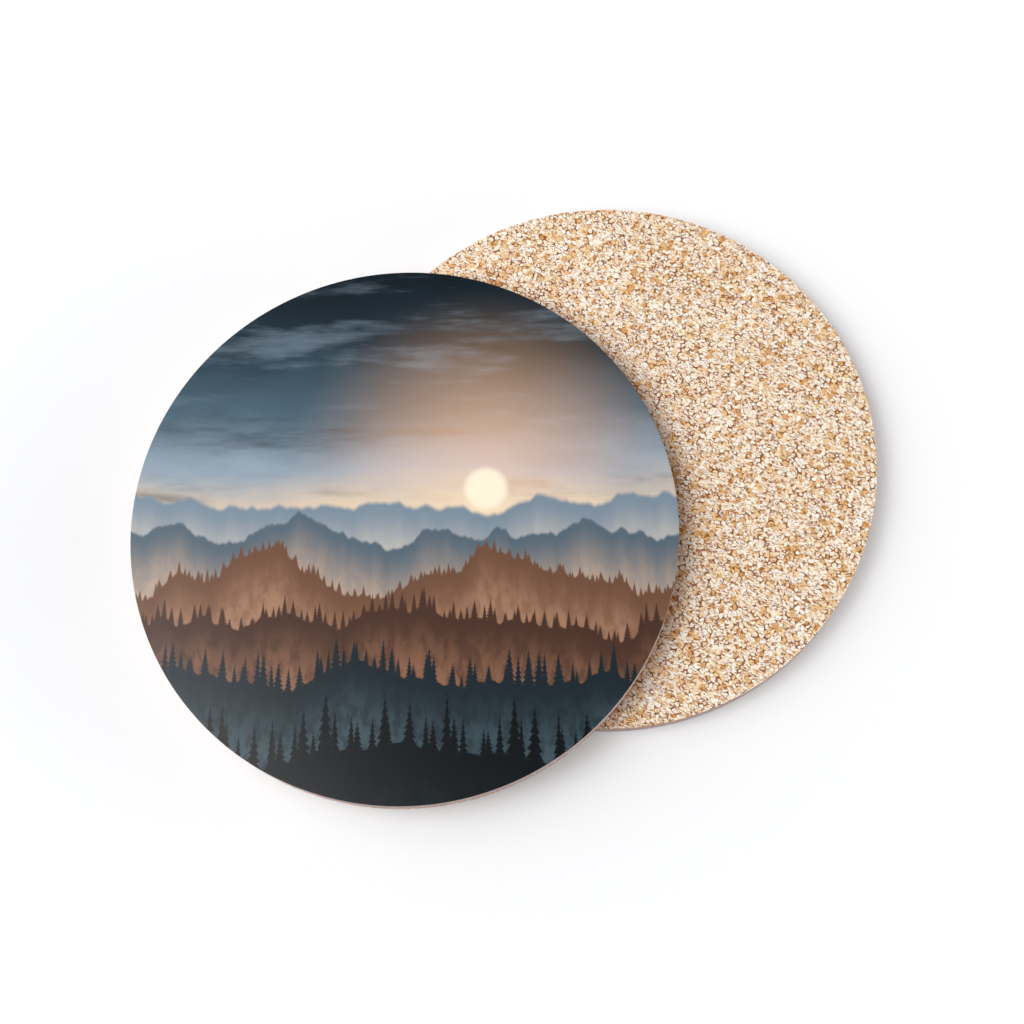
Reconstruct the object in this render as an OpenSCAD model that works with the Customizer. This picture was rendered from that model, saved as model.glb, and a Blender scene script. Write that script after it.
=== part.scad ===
// Two round drink coasters of one set. The lower one lies print down with its
// cork back up, and the upper one is lapped over it with its print up.
// Each is a hardboard disc with a coated, printed face and a glued cork back.
// Millimetres, +Z up. The origin is the middle of the face that lies on the
// table, and the upper coaster is offset along -X.

/* [Hardboard disc] */
// Diameter of each coaster
coaster_d = 95; // [80:0.5:120]
// Thickness of the hardboard disc
board_t = 2.75; // [2:0.05:6]

/* [Printed face] */
// Thickness of the white ground coat under the print
ground_t = 0.1; // [0.05:0.01:0.3]
// Width of the sloping white rim that shows round the print
ground_rim = 0.05; // [0.05:0.05:1]
// Thickness of the layer that carries the print
print_t = 0.05; // [0.03:0.01:0.2]
// Thickness of the clear gloss coat over the print
gloss_t = 0.1; // [0.08:0.01:0.4]
// Width of the rim where the gloss coat runs out
gloss_ease = 0.06; // [0.02:0.01:0.07]

/* [Cork back] */
// Thickness of the cork pad
cork_t = 0.9; // [0.5:0.05:4]
// Width of the rubbed rim on the outer side of the cork pad
cork_ease = 0.15; // [0.05:0.05:0.4]
// Thickness of the glue film between the cork pad and the hardboard
glue_t = 0.1; // [0.05:0.01:0.3]
// How far the glue film stops short of the rim
glue_inset = 0.3; // [0.1:0.05:2]

/* [Pair] */
// Distance between the centres of the two coasters
lap_offset = 37.5; // [10:0.25:45]

/* [Hidden] */
$fn = 180;
// The print and the gloss coat end where the white rim starts
print_d = coaster_d - 2 * ground_rim;
glue_d = coaster_d - 2 * glue_inset;
// Heights of the layers in a coaster that lies print up
glue_z = cork_t;
board_z = glue_z + glue_t;
ground_z = board_z + board_t;
print_z = ground_z + ground_t;
gloss_z = print_z + print_t;
coaster_t = gloss_z + gloss_t;

// Disc standing on z = 0, with its lower and upper rims eased at 45 degrees
module eased_disc(d, t, low_ease = 0, high_ease = 0) {
    r = d / 2;
    rotate_extrude()
        polygon([
            [0, 0],
            [r - low_ease, 0],
            if (low_ease > 0) [r, low_ease],
            if (high_ease > 0) [r, t - high_ease],
            [r - high_ease, t],
            [0, t]
        ]);
}

// The two ways that a coaster lies in the pair
module lying_print_down() {
    translate([0, 0, coaster_t])
        rotate([180, 0, 0])
            children();
}

module lapped_print_up() {
    translate([-lap_offset, 0, coaster_t])
        children();
}

// The layers of one coaster that lies print up
module cork_pad() {
    color([0.91, 0.79, 0.63])
        eased_disc(coaster_d, cork_t, low_ease = cork_ease);
}

module glue_film() {
    color([0.86, 0.72, 0.50])
        translate([0, 0, glue_z])
            cylinder(h = glue_t, d = glue_d);
}

module hardboard() {
    color([0.71, 0.62, 0.63])
        translate([0, 0, board_z])
            cylinder(h = board_t, d = coaster_d);
}

module ground_coat() {
    color([0.94, 0.93, 0.91])
        translate([0, 0, ground_z])
            cylinder(h = ground_t, d1 = coaster_d, d2 = print_d);
}

module print_layer() {
    color([0.24, 0.31, 0.36])
        translate([0, 0, print_z])
            cylinder(h = print_t, d = print_d);
}

module gloss_coat() {
    color([0.80, 0.86, 0.90, 0.35])
        translate([0, 0, gloss_z])
            eased_disc(print_d, gloss_t, high_ease = gloss_ease);
}

lying_print_down() gloss_coat();  // lower_gloss_coat
lying_print_down() print_layer();  // lower_print_layer
lying_print_down() ground_coat();  // lower_ground_coat
lying_print_down() hardboard();  // lower_hardboard
lying_print_down() glue_film();  // lower_glue_film
lying_print_down() cork_pad();  // lower_cork_pad
lapped_print_up() cork_pad();  // upper_cork_pad
lapped_print_up() glue_film();  // upper_glue_film
lapped_print_up() hardboard();  // upper_hardboard
lapped_print_up() ground_coat();  // upper_ground_coat
lapped_print_up() print_layer();  // upper_print_layer
lapped_print_up() gloss_coat();  // upper_gloss_coat
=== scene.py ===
# %% [markdown]
# # Two cork-backed drink coasters
# One coaster lies print down with its cork up. The other is lapped over it, print up.
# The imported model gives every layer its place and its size. This lesson dresses those
# layers: granules on the cork, fibres on the bare board edge and a picture under the gloss.

# %% Load the frame
import math
import random
from types import SimpleNamespace

import bmesh
import bpy
from mathutils import Matrix, Vector, geometry, noise


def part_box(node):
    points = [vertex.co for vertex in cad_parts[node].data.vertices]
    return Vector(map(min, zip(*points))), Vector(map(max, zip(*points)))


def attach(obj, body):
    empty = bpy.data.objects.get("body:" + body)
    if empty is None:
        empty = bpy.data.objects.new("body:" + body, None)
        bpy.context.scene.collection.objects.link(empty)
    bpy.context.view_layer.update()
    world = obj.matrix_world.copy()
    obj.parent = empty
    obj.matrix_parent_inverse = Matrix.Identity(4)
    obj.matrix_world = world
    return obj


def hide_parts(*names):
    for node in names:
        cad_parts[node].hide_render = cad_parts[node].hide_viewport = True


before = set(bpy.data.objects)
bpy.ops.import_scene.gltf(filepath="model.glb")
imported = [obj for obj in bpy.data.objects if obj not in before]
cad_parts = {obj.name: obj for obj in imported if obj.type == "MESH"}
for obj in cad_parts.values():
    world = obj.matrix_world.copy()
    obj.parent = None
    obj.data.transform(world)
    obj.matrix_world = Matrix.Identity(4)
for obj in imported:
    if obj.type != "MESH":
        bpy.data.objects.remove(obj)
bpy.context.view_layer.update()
MM = 0.001


def round_node(node):
    """Centre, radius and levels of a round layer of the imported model, in metres."""
    low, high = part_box(node)
    middle = (low + high) / 2
    radius = max(high.x - low.x, high.y - low.y) / 2
    return SimpleNamespace(x=middle.x, y=middle.y, r=radius, low=low.z, high=high.z)


layers = {name: round_node(name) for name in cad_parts}
print("layers:", {name: round(layer.r / MM, 2) for name, layer in layers.items()})

# %% [markdown]
# ## The camera
# The photograph looks down on the pair from nearly overhead, through a short tele lens.
# A camera with depth of field off and no shift keeps every other view honest too.
# It is aimed at a point between the coasters and rolled a little, as a hand would hold it.

# %% Place the camera
CAMERA_AT = Vector((-37.39, -81.16, 308.46)) * MM
CAMERA_AIM = Vector((-18.46, -1.94, 0.0)) * MM
CAMERA_ROLL = math.radians(-7.73)
LENS_MM = 63.28
SENSOR_MM = 36.0

camera = bpy.data.objects.new("camera", bpy.data.cameras.new("camera"))
bpy.context.collection.objects.link(camera)
camera.data.lens = LENS_MM
camera.data.sensor_width = SENSOR_MM
camera.data.clip_start = 10 * MM
camera.data.clip_end = 20.0
level = (CAMERA_AIM - CAMERA_AT).to_track_quat("-Z", "Y").to_matrix().to_4x4()
camera.matrix_world = Matrix.Translation(CAMERA_AT) @ level @ Matrix.Rotation(CAMERA_ROLL, 4, "Z")
bpy.context.scene.camera = camera
print("camera is", round((CAMERA_AIM - CAMERA_AT).length / MM), "mm from its aim")

# %% [markdown]
# ## Writing node trees as sums
# Node trees are easier to read when a sum of sockets looks like a sum. A Wire holds one
# output socket, and its operators add the Math nodes. The same helpers serve shader
# trees and Geometry Nodes trees.


# %% Sockets as wires
class Wire:
    """An output socket that can be used in a sum."""

    def __init__(self, tree, socket):
        self.tree = tree
        self.socket = socket

    def math(self, operation, *others):
        return wire(self.tree, "ShaderNodeMath", self, *others, operation=operation)

    def __add__(self, other):
        return self.math("ADD", other)

    def __sub__(self, other):
        return self.math("SUBTRACT", other)

    def __mul__(self, other):
        return self.math("MULTIPLY", other)

    def __truediv__(self, other):
        return self.math("DIVIDE", other)

    def __pow__(self, other):
        return self.math("POWER", other)

    def __lt__(self, other):
        return self.math("LESS_THAN", other)

    def __gt__(self, other):
        return self.math("GREATER_THAN", other)

    def least(self, other):
        return self.math("MINIMUM", other)

    def most(self, other):
        return self.math("MAXIMUM", other)

    def size(self):
        return self.math("ABSOLUTE")

    def part(self):
        return self.math("FRACT")

    def floor(self):
        return self.math("FLOOR")

    def ramp(self, low, high, to_low=0.0, to_high=1.0):
        """Eases from one value to another while this runs from low to high."""
        return wire(self.tree, "ShaderNodeMapRange", self, low, high, to_low, to_high,
                    interpolation_type="SMOOTHSTEP")


print("wires can be summed, compared and ramped")


# %% Add and feed nodes
def feed(tree, target, value):
    """Gives an input socket a wire or a plain value."""
    if isinstance(value, Wire):
        tree.links.new(value.socket, target)
    else:
        target.default_value = value


def wires(tree, kind, *values, **options):
    """Adds a node, sets its options, feeds its inputs in order and returns its outputs."""
    node = tree.nodes.new(kind)
    for name, option in options.items():
        setattr(node, name, option)
    for target, value in zip([s for s in node.inputs if s.enabled], values):
        if value is not None:
            feed(tree, target, value)
    return [Wire(tree, s) for s in node.outputs if s.enabled]


def wire(tree, kind, *values, **options):
    """As wires, for a node of which only the first output is used."""
    return wires(tree, kind, *values, **options)[0]


def blend(tree, share, under, over, mode="MIX"):
    """Lays one colour over another."""
    return wire(tree, "ShaderNodeMix", share, under, over, data_type="RGBA", blend_type=mode)


def new_group(name, kind, inputs, outputs):
    """A node group with named sockets: its tree, its inputs as wires and its output node."""
    tree = bpy.data.node_groups.new(name, kind)
    for label, socket_type in inputs.items():
        tree.interface.new_socket(label, in_out="INPUT", socket_type=socket_type)
    for label, socket_type in outputs.items():
        tree.interface.new_socket(label, in_out="OUTPUT", socket_type=socket_type)
    source = tree.nodes.new("NodeGroupInput")
    given = {s.name: Wire(tree, s) for s in source.outputs if s.name}
    return tree, given, tree.nodes.new("NodeGroupOutput")


def use_group(tree, group, **values):
    """Places a shader group, feeds its inputs by name and returns its first output."""
    node = tree.nodes.new("ShaderNodeGroup")
    node.node_tree = group
    for name, value in values.items():
        feed(tree, node.inputs[name], value)
    return Wire(tree, node.outputs[0])


print("nodes can be added and fed")

# %% [markdown]
# ## Helpers for finishes
# A finish here is one Principled shader with patterns that read Object coordinates, so they
# stay on the piece when it moves. Colours are written as a screen shows them, because that
# is how a colour picker gives them, and are turned into linear light before use.


# %% Helpers for finishes
def paint(red, green, blue):
    """A colour as a screen shows it, 0 to 255, turned into the linear values that shaders use."""
    def linear(value):
        share = value / 255
        return share / 12.92 if share <= 0.04045 else ((share + 0.055) / 1.055) ** 2.4
    return (linear(red), linear(green), linear(blue), 1.0)


def new_finish(name):
    """A material with one Principled shader: the material, its tree and the shader."""
    material = bpy.data.materials.new(name)
    material.use_nodes = True
    tree = material.node_tree
    tree.nodes.clear()
    shader = tree.nodes.new("ShaderNodeBsdfPrincipled")
    output = tree.nodes.new("ShaderNodeOutputMaterial")
    tree.links.new(shader.outputs[0], output.inputs["Surface"])
    return material, tree, shader


def colour_steps(tree, share, steps):
    """A colour ramp through (place, colour) steps."""
    node = tree.nodes.new("ShaderNodeValToRGB")
    feed(tree, node.inputs[0], share)
    stops = node.color_ramp.elements
    stops[0].position, stops[0].color = steps[0]
    stops[1].position, stops[1].color = steps[-1]
    for place, colour in steps[1:-1]:
        stops.new(place).color = colour
    return Wire(tree, node.outputs[0])


def own_place(tree):
    """Object coordinates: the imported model's own metres."""
    return Wire(tree, tree.nodes.new("ShaderNodeTexCoord").outputs["Object"])


def grain(tree, place, scale, detail=2.0, roughness=0.6):
    """A smooth random value that changes over the surface, about 0.5 on average."""
    return wire(tree, "ShaderNodeTexNoise", place, scale, detail, roughness)


def named_value(tree, name):
    """A value that the mesh itself carries under this name."""
    node = tree.nodes.new("ShaderNodeAttribute")
    node.attribute_name = name
    return Wire(tree, node.outputs["Fac"])


print("finish helpers are ready")

# %% [markdown]
# ## The cork: where the granules sit
# Cork sheet is bark ground to granules, glued and pressed, then sliced. A noise bump
# can't show that: the granules have edges, tilts and pits between them. So each one is
# a real facetted chip. First come loose points on the disc, close together for crumbs
# and further apart for big flakes, and a net of triangles between them. The next step
# turns that net inside out, so that every point becomes one granule.

# %% Scatter the granules of a disc
CRUMB_GAP = 0.42 * MM
FLAKE_GAP = 1.05 * MM
RIM_GAP = (0.55 * MM, 1.05 * MM)
TRIES_PER_MM2 = 12


def granule_net(name, radius, seed):
    """A flat net of triangles on a disc, with one point for each granule."""
    draw = random.Random(seed)
    points = []
    angle = 0.0
    while angle < 2 * math.pi - RIM_GAP[0] / radius:
        points.append(Vector((radius * math.cos(angle), radius * math.sin(angle))))
        angle += draw.uniform(*RIM_GAP) / radius
    on_rim = len(points)
    bins = {}
    for _ in range(int(TRIES_PER_MM2 * math.pi * (radius / MM) ** 2)):
        gap = CRUMB_GAP + (FLAKE_GAP - CRUMB_GAP) * draw.random() ** 2
        reach = (radius - CRUMB_GAP) * math.sqrt(draw.random())
        turn = draw.uniform(0, 2 * math.pi)
        spot = Vector((reach * math.cos(turn), reach * math.sin(turn)))
        column = math.floor(spot.x / FLAKE_GAP)
        row = math.floor(spot.y / FLAKE_GAP)
        near = (
            other
            for i in (-1, 0, 1)
            for j in (-1, 0, 1)
            for other in bins.get((column + i, row + j), ())
        )
        if all((spot - other).length > (gap + other_gap) / 2 for other, other_gap in near):
            bins.setdefault((column, row), []).append((spot, gap))
            points.append(spot)
    triangles = geometry.delaunay_2d_cdt(points, [], [], 0, 1e-9)
    mesh = bpy.data.meshes.new(name)
    mesh.from_pydata([(p.x, p.y, 0.0) for p in triangles[0]], [], triangles[2])
    print(name, "has", len(points), "granules,", on_rim, "of them on the rim")
    return mesh

# %% [markdown]
# ## The cork: granules out of the net
# A Geometry Nodes tree turns the net into granules, because every granule follows one
# rule. Dual Mesh makes a cell round each point. Noise pushes the cells out of shape, so
# that some end up long and bent. Some corners sink into pits. Then each cell is extruded
# by itself: its top is drawn in, most of all beside a pit, and lies on a tilted plane of
# its own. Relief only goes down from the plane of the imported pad, so the cork never
# grows. The last rows of the tree are the cut rim.


# %% Helpers for the granule tree
def chance(tree, low, high, seed):
    """A random value for each element, or a random vector if the limits are vectors."""
    kind = "FLOAT_VECTOR" if isinstance(low, tuple) else "FLOAT"
    return wire(tree, "FunctionNodeRandomValue", low, high, None, seed, data_type=kind)


def keep(tree, mesh, name, value, domain, selection=None, data_type="FLOAT"):
    """Stores a value on the mesh under a name that later nodes and shaders can read."""
    return wire(tree, "GeometryNodeStoreNamedAttribute", mesh, selection, name, value,
                domain=domain, data_type=data_type)


def kept(tree, name, data_type="FLOAT"):
    """A value that was stored on the mesh."""
    return wire(tree, "GeometryNodeInputNamedAttribute", name, data_type=data_type)


def here(tree):
    """Where a point or the middle of a face is."""
    return wire(tree, "GeometryNodeInputPosition")


def shift(tree, mesh, selection, place):
    """Moves the selected points to a new place."""
    return wire(tree, "GeometryNodeSetPosition", mesh, selection, place)


def vector(tree, *parts):
    return wire(tree, "ShaderNodeCombineXYZ", *parts)


def parts_of(tree, place):
    return wires(tree, "ShaderNodeSeparateXYZ", place)


def reckon(tree, operation, *places):
    """A sum of vectors."""
    return wire(tree, "ShaderNodeVectorMath", *places, operation=operation)


print("granule helpers are ready")


# %% Steps that shape and sort the cells
# Share of granules with a tone of their own; the others share the tone of a bigger flake
OWN_TONE_SHARE = 0.7
TURN_RANGE = (0.4, 1.4)
# Every joint is sunk a little and painted a little darker as shade, and a corner whose chance lies high in
# this range is a pit, sunk deeper and painted darker still
LEAST_PIT = 0.12
PIT_RANGE = (0.66, 0.92)


def bend_cells(tree, cells, given):
    """Pushes the corners of the cells about, less and less towards the rim."""
    x, y, _ = parts_of(tree, here(tree))
    from_rim = given["Radius"] - reckon(tree, "LENGTH", vector(tree, x, y))
    freedom = (from_rim / given["Bend Pitch"]).ramp(0.0, 0.6)
    in_pitches = reckon(tree, "DIVIDE", here(tree), given["Bend Pitch"])
    swing = wires(tree, "ShaderNodeTexNoise", in_pitches, 1.0, 1.0)[1]
    swing_x, swing_y, _ = parts_of(tree, swing)
    jog = chance(tree, (-1.0, -1.0, 0.0), (1.0, 1.0, 0.0), given["Seed"] + 7)
    jog_x, jog_y, _ = parts_of(tree, jog)
    push_x = (swing_x - 0.5) * given["Bend"] + jog_x * given["Jog"]
    push_y = (swing_y - 0.5) * given["Bend"] + jog_y * given["Jog"]
    return shift(tree, cells, None, vector(tree, x + push_x * freedom, y + push_y * freedom))


def tell_granules_apart(tree, cells, given):
    """Gives each cell a middle, tilt, level, tone and turn, and some corners a pit."""
    seed = given["Seed"]
    cells = keep(tree, cells, "granule_middle", here(tree), "FACE", data_type="FLOAT_VECTOR")
    tilt = chance(tree, (-1.0, -1.0, 0.0), (1.0, 1.0, 0.0), seed + 1)
    cells = keep(tree, cells, "granule_tilt", tilt, "FACE", data_type="FLOAT_VECTOR")
    level = given["Step"] * (chance(tree, 0.0, 1.0, seed + 2) ** 1.5) * -1.0
    cells = keep(tree, cells, "granule_level", level, "FACE")
    own_tone = chance(tree, 0.0, 1.0, seed + 3)
    in_flakes = reckon(tree, "DIVIDE", here(tree), given["Flake Size"])
    flakes = wires(tree, "ShaderNodeTexVoronoi", in_flakes, 1.0)[1]
    flake_tone, _, _ = parts_of(tree, flakes)
    in_flake = chance(tree, 0.0, 1.0, seed + 4) > OWN_TONE_SHARE
    tone = wire(tree, "ShaderNodeMix", in_flake, own_tone, flake_tone)
    cells = keep(tree, cells, "granule_tone", tone, "FACE")
    cells = keep(tree, cells, "granule_turn", chance(tree, *TURN_RANGE, seed + 5), "FACE")
    # The pit value sinks a corner and also paints shade on it: the cork finish turns it a darker brown
    pit = chance(tree, 0.0, 1.0, seed + 6).ramp(*PIT_RANGE, LEAST_PIT, 1.0)
    return keep(tree, cells, "crevice", pit, "POINT")


print("cells can be bent and told apart")

# %% Steps that raise the granules and cut the rim
JOINT_STEPS = 1.2
PULL_RANGE = (0.04, 0.16)
DENT_SHADE = 0.6


def raise_granules(tree, cells, given):
    """Sinks the pits, then extrudes each cell and lays its top on the granule's own plane."""
    x, y, _ = parts_of(tree, here(tree))
    joint = given["Step"] * -JOINT_STEPS - given["Pit"] * kept(tree, "crevice")
    cells = shift(tree, cells, None, vector(tree, x, y, joint))
    chips, top, _ = wires(tree, "GeometryNodeExtrudeMesh", cells, None, None, 0.0, True)
    middle = kept(tree, "granule_middle", "FLOAT_VECTOR")
    pull = chance(tree, *PULL_RANGE, given["Seed"] + 8) + kept(tree, "crevice") * given["Pit Width"]
    drawn_in = wire(tree, "ShaderNodeMix", pull, here(tree), middle, data_type="VECTOR")
    x, y, _ = parts_of(tree, drawn_in)
    tilt = kept(tree, "granule_tilt", "FLOAT_VECTOR")
    slope = reckon(tree, "DOT_PRODUCT", reckon(tree, "SUBTRACT", drawn_in, middle), tilt)
    height = kept(tree, "granule_level") + slope * given["Tilt"]
    chips = shift(tree, chips, top, vector(tree, x, y, height.least(0.0)))
    return keep(tree, chips, "crevice", 0.0, "POINT", top)


def rim_row(tree, mesh, edge, given, depth_share, dent_share, seed):
    """One row of the cut rim: the edge goes down, and granules torn out leave small dents, painted darker
    as shade.
    """
    mesh, edge, faces = wires(tree, "GeometryNodeExtrudeMesh", mesh, edge, None, 0.0, mode="EDGES")
    x, y, _ = parts_of(tree, here(tree))
    x, y, _ = parts_of(tree, reckon(tree, "NORMALIZE", vector(tree, x, y)))
    dent = chance(tree, 0.0, dent_share, given["Seed"] + seed)
    reach = given["Radius"] - given["Dent"] * dent
    mesh = shift(tree, mesh, edge, vector(tree, x * reach, y * reach, given["Thickness"] * -depth_share))
    # The dents are painted darker as shade through the pit value
    mesh = keep(tree, mesh, "crevice", dent * DENT_SHADE, "POINT", edge)
    tone = chance(tree, 0.0, 1.0, given["Seed"] + seed + 1)
    return keep(tree, mesh, "granule_tone", tone, "FACE", faces), edge


print("granules can be raised and the rim cut")

# %% Build the granule tree
# Depth of each row of the rim as a share of the thickness, and how far it may be dented
RIM_ROWS = [(0.62, 1.0), (0.84, 1.0), (1.0, 0.0)]


def granule_tree():
    """The Geometry Nodes tree that turns a flat net into a pressed cork pad."""
    inputs = {"Net": "NodeSocketGeometry", "Finish": "NodeSocketMaterial", "Seed": "NodeSocketInt"}
    sizes = ("Radius", "Thickness", "Bend", "Bend Pitch", "Jog", "Flake Size", "Pit", "Pit Width", "Step",
             "Tilt", "Dent")
    inputs.update({name: "NodeSocketFloat" for name in sizes})
    tree, given, sink = new_group("pressed granules", "GeometryNodeTree", inputs,
                                  {"Cork": "NodeSocketGeometry"})
    cells = wire(tree, "GeometryNodeDualMesh", given["Net"], True)
    cells = bend_cells(tree, cells, given)
    cells = tell_granules_apart(tree, cells, given)
    cork = raise_granules(tree, cells, given)
    rim = wire(tree, "GeometryNodeInputMeshEdgeNeighbors") < 2.0
    for number, (depth_share, dent_share) in enumerate(RIM_ROWS):
        cork, rim = rim_row(tree, cork, rim, given, depth_share, dent_share, 10 + 2 * number)
    cork = wire(tree, "GeometryNodeSetShadeSmooth", cork, None, False)
    cork = wire(tree, "GeometryNodeRealizeInstances", cork)
    cork = wire(tree, "GeometryNodeSetMaterial", cork, None, given["Finish"])
    feed(tree, sink.inputs["Cork"], cork)
    return tree


cork_granules = granule_tree()
print("granule tree has", len(cork_granules.nodes), "nodes")

# %% [markdown]
# ## The cork: its finish
# Cork is pale when freshly sliced: more than half of the granules are cream, many are tan,
# a few are orange brown, and the dark bits are pores and bark. Each granule carries its own
# tone, and fine streaks turn with it because every granule was cut at another angle. Where
# granules meet, and in the pits and the dents of the rim, the colour is painted a darker warm
# brown: painted shade, standing in for part of the shadow there, and warm because light that
# gets into cork comes back warmer. The tone could come from a cell noise, but then the colours
# wouldn't stop at the edges of the modelled granules.

# %% Make the cork finish
# How fine the patterns are, in features per metre, and how deep the streaks are
STREAKS, CRACKS, BARK = 2300.0, 4400.0, 1500.0
STREAK_STRETCH = (0.2, 1.0, 1.0)
CRACK_STRETCH = (0.3, 1.0, 1.0)
STREAK_DEPTH = 0.04 * MM


def cork_finish():
    material, tree, shader = new_finish("pressed cork")
    place = own_place(tree)
    tone = named_value(tree, "granule_tone")
    turn = named_value(tree, "granule_turn")
    pit = named_value(tree, "crevice")
    body = colour_steps(tree, tone, [
        (0.0, paint(255, 250, 241)),
        (0.55, paint(255, 246, 228)),
        (0.8, paint(252, 229, 194)),
        (0.94, paint(238, 199, 146)),
        (1.0, paint(218, 161, 102)),
    ])
    turned = wire(tree, "ShaderNodeVectorRotate", place, None, turn, rotation_type="Z_AXIS")
    streaks = grain(tree, reckon(tree, "MULTIPLY", turned, STREAK_STRETCH), STREAKS)
    body = blend(tree, streaks.ramp(0.49, 0.65, 0.0, 0.75), body, paint(228, 177, 110))
    cracks = grain(tree, reckon(tree, "MULTIPLY", turned, CRACK_STRETCH), CRACKS)
    body = blend(tree, cracks.ramp(0.54, 0.62, 0.0, 0.95), body, paint(150, 82, 24))
    bark = grain(tree, place, BARK)
    body = blend(tree, bark.ramp(0.63, 0.69, 0.0, 0.85), body, paint(194, 112, 48))
    # Painted shade: where granules meet, in pits and in dents of the rim the colour turns a darker warm
    # brown
    painted_joint_shade = colour_steps(tree, pit, [(0.0, paint(222, 157, 82)), (0.6, paint(140, 71, 18))])
    body = blend(tree, pit.ramp(0.0, 0.35, 0.0, 0.9), body, painted_joint_shade)
    feed(tree, shader.inputs["Base Color"], body)
    shader.inputs["Roughness"].default_value = 0.9
    shader.inputs["Specular IOR Level"].default_value = 0.25
    bump = wire(tree, "ShaderNodeBump", 0.35, STREAK_DEPTH, None, streaks)
    feed(tree, shader.inputs["Normal"], bump)
    return material


cork = cork_finish()
print("finish:", cork.name)

# %% [markdown]
# ## A map for each disc
# Shaders here read Object coordinates, so the render needs no UV map. A model that leaves
# Blender has its patterns baked to pictures, though, and an automatic unwrap would cut the
# cork into thousands of scraps. So each disc is laid flat on purpose: its shown side in the
# middle, its rim folded outwards as a ring, and its hidden back small in a corner.


# %% Helpers for the maps
MAP_NAME = "OFBake"
MAP_REACH = 0.49
CORNER, CORNER_REACH = 0.075, 0.065
# A face belongs to the rim if it is steep and within this distance of the edge
RIM_DEPTH = 0.13 * MM
STEEP = 0.5


def lay_flat(mesh, spot):
    """Makes the map, with spot(face, place) as the place on it of one corner of a face."""
    corners = mesh.uv_layers.new(name=MAP_NAME).uv
    for face in mesh.polygons:
        for corner, point in zip(face.loop_indices, face.vertices):
            corners[corner].vector = spot(face, mesh.vertices[point].co)


def folded_out(radius, level, thickness, facing):
    """The spots of a disc whose shown side lies at a level and faces up, 1, or down, -1."""
    scale = MAP_REACH / (radius + thickness)

    def spot(face, place):
        if face.normal.z * facing < -STEEP:
            return [CORNER + CORNER_REACH * side / radius for side in place.xy]
        stretch = scale
        if abs(face.normal.z) < STEEP and face.center.xy.length > radius - RIM_DEPTH:
            stretch = scale * (radius + abs(place.z - level)) / place.xy.length
        return [0.5 + stretch * side for side in place.xy]

    return spot


print("maps are named", MAP_NAME)

# %% [markdown]
# ## The cork pads
# A pad is made lying print up, with its cork face on z = 0, and then put in its place:
# straight up for the upper coaster and turned over for the lower one. Both pads come from
# the same tree with another seed. The tree leaves the back open, so the last step closes it.

# %% Places and helpers for finished pieces
turned_over = Matrix.Rotation(math.pi, 4, "X")
places = {
    "lower": Matrix.Translation((layers["lower_cork_pad"].x, layers["lower_cork_pad"].y,
                                 layers["lower_cork_pad"].high)) @ turned_over,
    "upper": Matrix.Translation((layers["upper_cork_pad"].x, layers["upper_cork_pad"].y,
                                 layers["upper_cork_pad"].low)),
}


def grow(name, mesh, tree, values):
    """Runs a Geometry Nodes tree on a mesh and returns the result as a plain mesh."""
    seed_object = bpy.data.objects.new(name + "_net", mesh)
    bpy.context.collection.objects.link(seed_object)
    modifier = seed_object.modifiers.new("grow", "NODES")
    modifier.node_group = tree
    for socket in tree.interface.items_tree:
        if socket.name in values:
            modifier[socket.identifier] = values[socket.name]
    depsgraph = bpy.context.evaluated_depsgraph_get()
    grown = bpy.data.meshes.new_from_object(seed_object.evaluated_get(depsgraph),
                                            preserve_all_data_layers=True, depsgraph=depsgraph)
    bpy.data.objects.remove(seed_object)
    grown.name = name
    return grown


def set_down(name, mesh, coaster, slot, *nodes):
    """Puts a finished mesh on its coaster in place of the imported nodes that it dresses."""
    mesh.transform(places[coaster])
    piece = bpy.data.objects.new(name, mesh)
    bpy.context.collection.objects.link(piece)
    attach(piece, coaster + "_coaster")
    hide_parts(*nodes)
    print(name, "has", sum(len(p.vertices) - 2 for p in mesh.polygons), "triangles")
    return piece


print("places for", ", ".join(places))

# %% Make the two cork pads
CORK_SIZES = {
    "Bend": 0.6 * MM,
    "Bend Pitch": 2.2 * MM,
    "Jog": 0.07 * MM,
    "Flake Size": 0.9 * MM,
    "Pit": 0.18 * MM,
    "Pit Width": 0.26,
    "Step": 0.07 * MM,
    "Tilt": 0.16,
    "Dent": 0.12 * MM,
}
CORK_SEEDS = {"lower": 11, "upper": 29}


def cork_pad(coaster):
    pad = layers[coaster + "_cork_pad"]
    net = granule_net(coaster + " net", pad.r, CORK_SEEDS[coaster])
    values = {"Radius": pad.r, "Thickness": pad.high - pad.low, "Seed": CORK_SEEDS[coaster], "Finish": cork}
    mesh = grow(coaster + "_cork", net, cork_granules, {**values, **CORK_SIZES})
    form = bmesh.new()
    form.from_mesh(mesh)
    bmesh.ops.contextual_create(form, geom=[e for e in form.edges if e.is_boundary])
    bmesh.ops.recalc_face_normals(form, faces=form.faces)
    form.to_mesh(mesh)
    form.free()
    mesh.transform(turned_over)
    lay_flat(mesh, folded_out(pad.r, 0.0, pad.high - pad.low, -1))
    return set_down(coaster + "_cork", mesh, coaster, "cork", coaster + "_cork_pad")


cork_pads = {coaster: cork_pad(coaster) for coaster in places}

# %% [markdown]
# ## The board: a disc turned from its profile
# The body of a coaster is hardboard: wood fibres pressed hard, denser at both faces, and
# cut to a bare edge that isn't painted. Everything on it is round, so one helper turns a
# profile of (radius, height) points into a closed disc. The cut edge gets many rows with
# a little fibre fuzz in the mesh itself, because side views look straight at it.

# %% Turn discs
ROUND_STEPS = 1080
# How fine the fuzz is along the rim and up it, in features per millimetre
FUZZ_ALONG, FUZZ_UP = 1.6, 9.0


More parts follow.
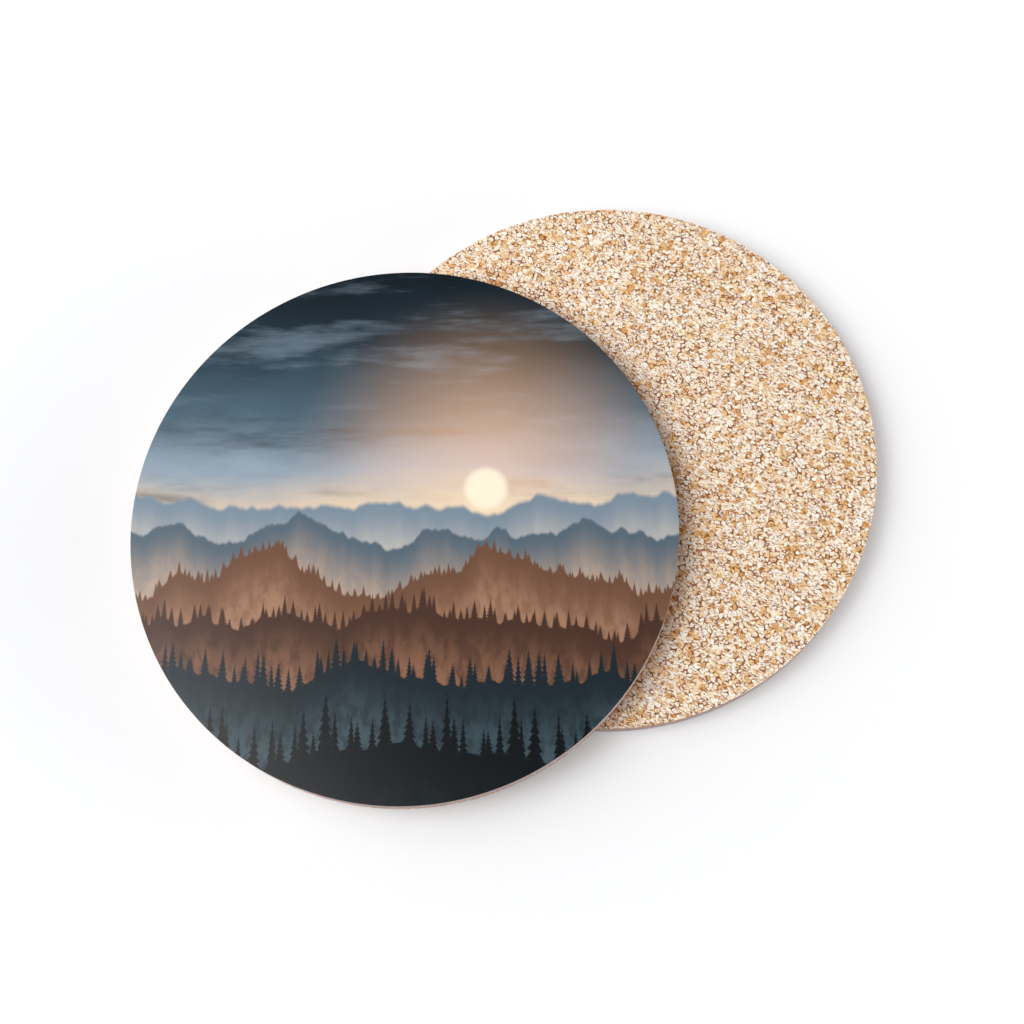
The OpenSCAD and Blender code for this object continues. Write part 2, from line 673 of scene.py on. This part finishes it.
def level_in(coaster, layer):
    """The lowest and highest level of a layer in a coaster that lies print up, cork at zero."""
    pad = layers[coaster + "_cork_pad"]
    low, high = layers[coaster + "_" + layer].low, layers[coaster + "_" + layer].high
    if coaster == "lower":
        return pad.high - high, pad.high - low
    return low - pad.low, high - pad.low


def turned_disc(name, profile, finish, fuzz=0.0):
    """A closed disc turned from (radius, height) points that run from one pole to the other."""
    form = bmesh.new()
    rings = []
    for radius, height in profile:
        if radius == 0:
            rings.append([form.verts.new((0, 0, height))] * ROUND_STEPS)
            continue
        ring = []
        for k in range(ROUND_STEPS):
            x, y = math.cos(math.tau * k / ROUND_STEPS), math.sin(math.tau * k / ROUND_STEPS)
            along = radius / MM * FUZZ_ALONG
            spot = Vector((x * along, y * along, height / MM * FUZZ_UP))
            reach = radius - fuzz * max(0.0, 0.5 + noise.noise(spot))
            ring.append(form.verts.new((x * reach, y * reach, height)))
        rings.append(ring)
    for high, low in zip(rings, rings[1:]):
        for k in range(ROUND_STEPS):
            corners = [high[k - 1], low[k - 1], low[k], high[k]]
            form.faces.new(list(dict.fromkeys(corners)))
    bmesh.ops.recalc_face_normals(form, faces=form.faces)
    mesh = bpy.data.meshes.new(name)
    form.to_mesh(mesh)
    form.free()
    mesh.materials.append(finish)
    return mesh


print("a round has", ROUND_STEPS, "steps")

# %% [markdown]
# ## The board: its finish
# Seen close, the bare edge is a felt of short fibres that lie flat, pinkish grey, with
# darker bits of bark and a denser, darker skin at both faces. The pattern is worked out
# round the rim, from the distance along it and the height, so it doesn't smear where the
# edge turns away from an axis. That is a node group, because both boards use it.


# %% Coordinates round the rim
def round_the_rim():
    """A shader group: place along the rim and height, in millimetres."""
    tree, given, sink = new_group("round the rim", "ShaderNodeTree", {"Place": "NodeSocketVector"},
                                  {"Rim Place": "NodeSocketVector"})
    x, y, z = parts_of(tree, given["Place"])
    around = y.math("ARCTAN2", x)
    radius = layers["upper_hardboard"].r / MM
    feed(tree, sink.inputs["Rim Place"], vector(tree, around * radius, z / MM))
    return tree


def centred(tree, layer, turn=0.0, size=1.0, mirrored=False):
    """Object coordinates centred on a round layer, turned, and in units of the given size."""
    place = own_place(tree)
    across = -size if mirrored else size
    return wire(tree, "ShaderNodeMapping", place, (layer.x, layer.y, layer.low), (0, 0, turn),
                (across, size, size), vector_type="TEXTURE")


rim_coordinates = round_the_rim()
print("group:", rim_coordinates.name)

# %% Make the hardboard finish
# Features per millimetre along the rim and up it: fibres lie flat, so they are long and thin
FIBRES_ALONG, FIBRES_UP = 1.3, 9.0
FLECKS_ALONG, FLECKS_UP = 2.6, 14.0
FIBRE_DEPTH = 0.06 * MM


def hardboard_finish(coaster):
    material, tree, shader = new_finish(coaster + " hardboard")
    board = layers[coaster + "_hardboard"]
    place = use_group(tree, rim_coordinates, Place=centred(tree, board))
    along, height, _ = parts_of(tree, place)
    fibres = grain(tree, vector(tree, along * FIBRES_ALONG, height * FIBRES_UP), 1.0, 4.0, 0.65)
    flecks = grain(tree, vector(tree, along * FLECKS_ALONG, height * FLECKS_UP, 7.0), 1.0)
    body = colour_steps(tree, fibres, [
        (0.25, paint(188, 158, 158)),
        (0.5, paint(206, 179, 178)),
        (0.75, paint(216, 195, 193)),
    ])
    body = blend(tree, flecks.ramp(0.60, 0.70, 0.0, 0.6), body, paint(140, 104, 104))
    thickness = (board.high - board.low) / MM
    skin = (height - thickness / 2).size().ramp(thickness * 0.3, thickness * 0.5, 0.0, 0.45)
    body = blend(tree, skin, body, paint(188, 158, 157))
    feed(tree, shader.inputs["Base Color"], body)
    shader.inputs["Roughness"].default_value = 0.85
    shader.inputs["Specular IOR Level"].default_value = 0.2
    feed(tree, shader.inputs["Normal"], wire(tree, "ShaderNodeBump", 0.4, FIBRE_DEPTH, None, fibres))
    return material


board_finishes = {coaster: hardboard_finish(coaster) for coaster in places}
print("finishes:", ", ".join(finish.name for finish in board_finishes.values()))

# %% [markdown]
# ## The boards
# Only the bare edge of a board shows, so its map is laid out another way: the edge is cut
# into strips that fill most of the map, and both hidden sides are small discs above them.

# %% Make the two boards
BOARD_ROWS = 14
FIBRE_FUZZ = 0.018 * MM
EDGE_STRIPS = 8
STRIP_HEIGHT = 0.085
STRIP_FILL = 0.8
STRIP_LENGTH = 0.98
SIDE_REACH = 0.12
SIDE_ROW = 0.856
SIDE_COLUMNS = {"up": 0.2, "down": 0.5}


def in_strips(radius, low, high):
    """The spots of a board: its bare edge in strips that fill the map, and both hidden sides small."""
    def spot(face, place):
        if abs(face.normal.z) > STEEP:
            column = SIDE_COLUMNS["up" if face.normal.z > 0 else "down"]
            return column + SIDE_REACH * place.x / radius, SIDE_ROW - SIDE_REACH * place.y / radius
        middle = math.atan2(face.center.y, face.center.x) / math.tau * EDGE_STRIPS
        along = math.atan2(place.y, place.x) / math.tau * EDGE_STRIPS
        along -= EDGE_STRIPS * round((along - middle) / EDGE_STRIPS)
        strip = math.floor(middle)
        up = (place.z - low) / (high - low)
        row = strip + EDGE_STRIPS / 2 + (1 - STRIP_FILL) / 2 + STRIP_FILL * up
        return (1 - STRIP_LENGTH) / 2 + STRIP_LENGTH * (along - strip), row * STRIP_HEIGHT

    return spot


def hardboard(coaster):
    low, high = level_in(coaster, "hardboard")
    radius = layers[coaster + "_hardboard"].r
    rows = [(radius, high + (low - high) * k / BOARD_ROWS) for k in range(BOARD_ROWS + 1)]
    profile = [(0, high)] + rows + [(0, low)]
    mesh = turned_disc(coaster + "_board", profile, board_finishes[coaster], FIBRE_FUZZ)
    lay_flat(mesh, in_strips(radius, low, high))
    return set_down(coaster + "_board", mesh, coaster, "hardboard", coaster + "_hardboard")


boards = {coaster: hardboard(coaster) for coaster in places}

# %% [markdown]
# ## The thin layers
# The white ground coat shows as a fine sloping line round the print, and the glue film
# hardly at all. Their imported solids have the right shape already, so they only get a
# finish: a coat with a faint orange-peel texture, and amber glue with uneven colour.

# %% Finish the ground coats and the glue films
PEEL_DEPTH = 0.02 * MM


def mottled_finish(name, dark, light, scale, roughness):
    """A coat with slightly uneven colour and a faint texture."""
    material, tree, shader = new_finish(name)
    patches = grain(tree, own_place(tree), scale, 3.0)
    feed(tree, shader.inputs["Base Color"], blend(tree, patches.ramp(0.3, 0.7), dark, light))
    shader.inputs["Roughness"].default_value = roughness
    feed(tree, shader.inputs["Normal"], wire(tree, "ShaderNodeBump", 0.2, PEEL_DEPTH, None, patches))
    return material


ground_finish = mottled_finish("white ground coat", paint(206, 190, 186), paint(222, 210, 206), 1800.0, 0.6)
glue_finish = mottled_finish("amber glue", paint(206, 168, 112), paint(224, 192, 140), 900.0, 0.4)
for coaster in places:
    for layer, finish in (("ground_coat", ground_finish), ("glue_film", glue_finish)):
        for material_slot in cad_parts[coaster + "_" + layer].material_slots:
            material_slot.material = finish
print("finished the ground coats and the glue films")

# %% [markdown]
# ## The picture: ridges and pines
# A printed coaster carries a picture. This one is a plain landscape at dusk: a deep sky,
# low sun, ridges that fade into mist and rows of pines. It is drawn with sums on two
# coordinates, across and up, in radii of the print, so it stays sharp at any size. A
# ridge is a noise line with everything below it filled. A pine is a stack of boughs: its
# half width shrinks with height and steps out again at each bough.


# %% Build the ridge and pine groups
def ridge_group():
    """How deep a point lies under a wandering line, below zero above it."""
    inputs = {name: "NodeSocketFloat" for name in ("Across", "Up", "Level", "Relief", "Pace", "Seed")}
    tree, given, sink = new_group("ridge", "ShaderNodeTree", inputs, {"Depth": "NodeSocketFloat"})
    line = wire(tree, "ShaderNodeTexNoise", given["Across"] * given["Pace"] + given["Seed"], 1.0, 5.0, 0.55,
                noise_dimensions="1D")
    crest = given["Level"] + (line - 0.5) * given["Relief"]
    feed(tree, sink.inputs["Depth"], crest - given["Up"])
    return tree


def pine_group():
    """How deep a point lies inside a row of pines that stands on a ridge, below zero outside."""
    names = ("Across", "Depth", "Count", "Height", "Seed")
    tree, given, sink = new_group("pines", "ShaderNodeTree", {name: "NodeSocketFloat" for name in names},
                                  {"Inside": "NodeSocketFloat"})
    row = given["Across"] * given["Count"] + given["Seed"]
    number = row.floor()
    chances = wires(tree, "ShaderNodeTexWhiteNoise", number + given["Seed"], noise_dimensions="1D")
    size, aside, _ = parts_of(tree, chances[1])
    height = given["Height"] * (size * 0.65 + 0.35)
    rise = given["Depth"] * -1.0 / height
    offset = (row.part() - 0.5 - (aside - 0.5) * 0.5).size()
    bough = (rise * 7.0).part()
    half_width = (rise * -1.0 + 1.0) * (bough * -0.45 + 1.0) * 0.34 * (size * 0.5 + 0.75)
    feed(tree, sink.inputs["Inside"], half_width - offset)
    return tree


ridge = ridge_group()
pines = pine_group()
print("groups:", ridge.name, "and", pines.name)

# %% [markdown]
# ## The picture: laying it out
# The layers go from far to near, like stage flats: sky, cloud streaks, sun, then six
# ridges. Each ridge has its own crest colour and fades into mist further down, which is
# what makes distance in such a picture. Near ridges carry pines.

# %% Lay out the picture
# Levels and sizes are in radii of the print
RIDGES = [
    dict(level=0.10, relief=0.34, pace=1.5, seed=3.1, edge=0.024, fade=0.26, woods=0.10,
         crest=paint(122, 140, 156), mist=paint(204, 196, 186)),
    dict(level=-0.02, relief=0.40, pace=1.9, seed=8.4, edge=0.016, fade=0.26, woods=0.20,
         crest=paint(86, 103, 116), mist=paint(184, 162, 144)),
    dict(level=-0.17, relief=0.42, pace=2.2, seed=14.7, edge=0.010, fade=0.24, woods=0.45,
         crest=paint(112, 78, 60), mist=paint(166, 126, 100), trees=26, height=0.050),
    dict(level=-0.34, relief=0.40, pace=1.7, seed=21.3, edge=0.008, fade=0.26, woods=0.60,
         crest=paint(74, 50, 40), mist=paint(140, 100, 78), trees=20, height=0.085),
    dict(level=-0.55, relief=0.42, pace=1.4, seed=30.9, edge=0.006, fade=0.30, woods=0.60,
         crest=paint(28, 40, 47), mist=paint(66, 84, 92), trees=15, height=0.14),
    dict(level=-0.80, relief=0.36, pace=1.2, seed=41.2, edge=0.006, fade=0.30, woods=0.50,
         crest=paint(13, 18, 21), mist=paint(24, 33, 38), trees=11, height=0.24),
]
SUN_AT = (0.30, 0.15)
SUN_RADIUS = 0.075


def picture_group():
    tree, given, sink = new_group("dusk landscape", "ShaderNodeTree", {"Place": "NodeSocketVector"},
                                  {"Colour": "NodeSocketColor"})
    across, up, _ = parts_of(tree, given["Place"])
    haze = grain(tree, vector(tree, across * 0.9, up * 2.2, 2.0), 1.6, 5.0)
    picture = colour_steps(tree, up * 0.5 + 0.5 + (haze - 0.5) * 0.14, [
        (0.44, paint(240, 212, 168)),
        (0.54, paint(218, 198, 176)),
        (0.62, paint(146, 162, 176)),
        (0.72, paint(76, 99, 114)),
        (0.84, paint(36, 54, 66)),
        (1.0, paint(16, 25, 32)),
    ])
    wisps = grain(tree, vector(tree, across * 1.2, up * 7.0, 5.0), 1.5, 6.0)
    picture = blend(tree, wisps.ramp(0.5, 0.75, 0.0, 0.55), picture, paint(122, 140, 154))
    dark_wisps = grain(tree, vector(tree, across * 0.8, up * 5.0, 9.0), 1.3, 6.0)
    picture = blend(tree, dark_wisps.ramp(0.54, 0.78, 0.0, 0.7), picture, paint(36, 48, 58))
    sun_distance = reckon(tree, "LENGTH", vector(tree, across - SUN_AT[0], up - SUN_AT[1]))
    picture = blend(tree, sun_distance.ramp(0.0, 0.8, 0.9, 0.0), picture, paint(214, 158, 96), "SCREEN")
    picture = blend(tree, sun_distance.ramp(SUN_RADIUS * 0.8, SUN_RADIUS * 1.25, 0.95, 0.0), picture,
                    paint(255, 243, 218))
    for plan in RIDGES:
        depth = use_group(tree, ridge, Across=across, Up=up, Level=plan["level"], Relief=plan["relief"],
                          Pace=plan["pace"], Seed=plan["seed"])
        land = blend(tree, depth.ramp(0.0, plan["fade"]), plan["crest"], plan["mist"])
        woods = grain(tree, vector(tree, across * 30.0, up * 14.0, plan["seed"]), 1.0, 4.0)
        land = blend(tree, woods.ramp(0.42, 0.62, 0.0, plan["woods"]), land, plan["crest"])
        cover = depth.ramp(-plan["edge"] / 2, plan["edge"] / 2)
        if "trees" in plan:
            for count, seed in ((plan["trees"], 0.0), (plan["trees"] * 1.37, 57.0)):
                inside = use_group(tree, pines, Across=across, Depth=depth, Count=count,
                                   Height=plan["height"], Seed=plan["seed"] + seed)
                cover = cover.most(inside.ramp(0.0, 0.08))
        picture = blend(tree, cover, picture, land)
    feed(tree, sink.inputs["Colour"], picture)
    return tree


landscape = picture_group()
print("picture has", len(landscape.nodes), "nodes and", len(RIDGES), "ridges")

# %% [markdown]
# ## The printed face
# The print is ink in a thin layer under a clear coat, and the two look like one skin: a
# satin surface with the picture in it and a lip that rounds down to the white rim. So one
# turned piece stands for both packed layers. The lower coaster lies on its print, so
# there the picture is mirrored in the map and reads right from below.

# %% Make the printed faces
LIP_STEPS = 6
PEEL = 700.0
PICTURE_TURN = {"upper": math.radians(-20.9), "lower": math.radians(34.0)}


def print_finish(coaster):
    material, tree, shader = new_finish(coaster + " print")
    layer = layers[coaster + "_print_layer"]
    place = centred(tree, layer, PICTURE_TURN[coaster], layer.r, mirrored=coaster == "lower")
    feed(tree, shader.inputs["Base Color"], use_group(tree, landscape, Place=place))
    shader.inputs["Roughness"].default_value = 0.2
    shader.inputs["Specular IOR Level"].default_value = 0.35
    peel = grain(tree, own_place(tree), PEEL)
    feed(tree, shader.inputs["Normal"], wire(tree, "ShaderNodeBump", 0.05, PEEL_DEPTH, None, peel))
    return material


def printed_face(coaster):
    low = level_in(coaster, "print_layer")[0]
    lip, high = level_in(coaster, "gloss_coat")
    radius = layers[coaster + "_print_layer"].r
    drop = high - lip
    turns = [math.pi / 2 * k / LIP_STEPS for k in range(LIP_STEPS + 1)]
    edge = [(radius - drop * (1 - math.sin(turn)), lip + drop * math.cos(turn)) for turn in turns]
    profile = [(0, high)] + edge + [(radius, low), (0, low)]
    mesh = turned_disc(coaster + "_face", profile, print_finish(coaster))
    lay_flat(mesh, folded_out(radius, high, high - low, 1))
    nodes = (coaster + "_print_layer", coaster + "_gloss_coat")
    return set_down(coaster + "_face", mesh, coaster, "print", *nodes)


faces = {coaster: printed_face(coaster) for coaster in places}

# %% [markdown]
# ## The floor
# The coasters lie on a white sweep. The floor is a plain pale sheet, so it takes the shadow.
# More lamp light would bleach the coasters before the sheet turned white. So the sheet adds
# a glow of its own, for what the camera or a reflection sees. The glow is weakest where the
# lamps light the sheet best and grows with the distance, so the sheet is white up to the
# horizon. From below it is clear, so that the underside can be looked at.

# %% Lay the floor
FLOOR_SIZE = 6.0
FLOOR_DROP = 0.02 * MM
BEST_LIT = (-0.09, 0.02, 0.0)
GLOW_REACH = 0.7
LEAST_GLOW, FULL_GLOW = 0.075, 1.0


def rays_of(tree, *kinds):
    """One for these kinds of ray and zero for all others."""
    rays = tree.nodes.new("ShaderNodeLightPath")
    share = Wire(tree, rays.outputs[kinds[0]])
    for kind in kinds[1:]:
        share = share.most(Wire(tree, rays.outputs[kind]))
    return share


def floor_finish():
    material = bpy.data.materials.new("white sweep")
    material.use_nodes = True
    tree = material.node_tree
    tree.nodes.clear()
    sheet = wire(tree, "ShaderNodeBsdfDiffuse", paint(224, 225, 227))
    distance = reckon(tree, "DISTANCE", own_place(tree), BEST_LIT)
    sights = rays_of(tree, "Is Camera Ray", "Is Glossy Ray", "Is Transmission Ray")
    strength = sights * wire(tree, "ShaderNodeMapRange", distance, 0.0, GLOW_REACH, LEAST_GLOW, FULL_GLOW)
    glow = wire(tree, "ShaderNodeEmission", paint(255, 254, 252), strength)
    lit = wire(tree, "ShaderNodeAddShader", sheet, glow)
    behind = Wire(tree, tree.nodes.new("ShaderNodeNewGeometry").outputs["Backfacing"])
    clear = wire(tree, "ShaderNodeBsdfTransparent")
    shown = wire(tree, "ShaderNodeMixShader", behind, lit, clear)
    output = tree.nodes.new("ShaderNodeOutputMaterial")
    feed(tree, output.inputs["Surface"], shown)
    return material


half = FLOOR_SIZE / 2
corners = [(x, y, -FLOOR_DROP) for x, y in ((-half, -half), (half, -half), (half, half), (-half, half))]
floor_mesh = bpy.data.meshes.new("floor")
floor_mesh.from_pydata(corners, [], [(0, 1, 2, 3)])
floor_mesh.materials.append(floor_finish())
floor = bpy.data.objects.new("floor", floor_mesh)
bpy.context.collection.objects.link(floor)
print("floor is", FLOOR_SIZE, "m across")

# %% [markdown]
# ## The lamps
# One big soft lamp at the upper left and a smaller one higher up give the soft shadow. A low
# fill from the right stands for the light that a white room throws back on the bare edges.
# A gloss coat is a weak mirror, and in a low view the side lamp or the fill would lie over
# the picture like a veil, so the gloss doesn't see those two.

# %% Hang the lamps
# Direction, distance, size across and power of each lamp
LAMPS = {
    "side_light": (Vector((-0.85, 0.55, 0.68)), 0.9, 1.20, 9.0),
    "top_light": (Vector((-0.51, 0.05, 0.84)), 1.0, 0.85, 5.6),
    "low_fill": (Vector((0.85, -0.50, 0.02)), 0.9, 0.50, 5.2),
}
UNSEEN_LAMPS = ("side_light", "low_fill")

for name, (direction, distance, size, watts) in LAMPS.items():
    lamp = bpy.data.objects.new(name, bpy.data.lights.new(name, "AREA"))
    bpy.context.collection.objects.link(lamp)
    lamp.data.shape = "DISK"
    lamp.data.size = size
    lamp.data.energy = watts
    lamp.visible_glossy = name not in UNSEEN_LAMPS
    lamp.location = CAMERA_AIM + direction.normalized() * distance
    lamp.rotation_euler = (-direction).to_track_quat("-Z", "Y").to_euler()
print("lamps:", ", ".join(LAMPS))

# %% [markdown]
# ## The room
# The room is plain white to the camera but weak as a light, so that the lamps make the
# shadow. In the gloss its walls are white and its ceiling is dim. So the picture stays deep
# and clear from above and shines only at a grazing look.

# %% Light the room
WHITE = (1.0, 1.0, 1.0, 1.0)
ROOM_LIGHT = 0.18
CEILING_LIGHT = 0.12
# How far up, as a share of straight up, the walls turn into the dim ceiling in the gloss
WALL_TOP, CEILING_EDGE = 0.05, 0.38

world = bpy.data.worlds.new("bright room")
bpy.context.scene.world = world
world.use_nodes = True
room = world.node_tree
background = room.nodes["Background"]
background.inputs["Color"].default_value = WHITE
_, _, upward = parts_of(room, Wire(room, room.nodes.new("ShaderNodeTexCoord").outputs["Generated"]))
mirrored = upward.ramp(WALL_TOP, CEILING_EDGE, 1.0, CEILING_LIGHT)
mirrored_walls = rays_of(room, "Is Glossy Ray") * (mirrored - ROOM_LIGHT)
white_walls = rays_of(room, "Is Camera Ray", "Is Transmission Ray") * (1.0 - ROOM_LIGHT)
feed(room, background.inputs["Strength"], white_walls + mirrored_walls + ROOM_LIGHT)
bpy.context.scene.view_settings.view_transform = "Standard"
print("room gives", ROOM_LIGHT, "of full light")
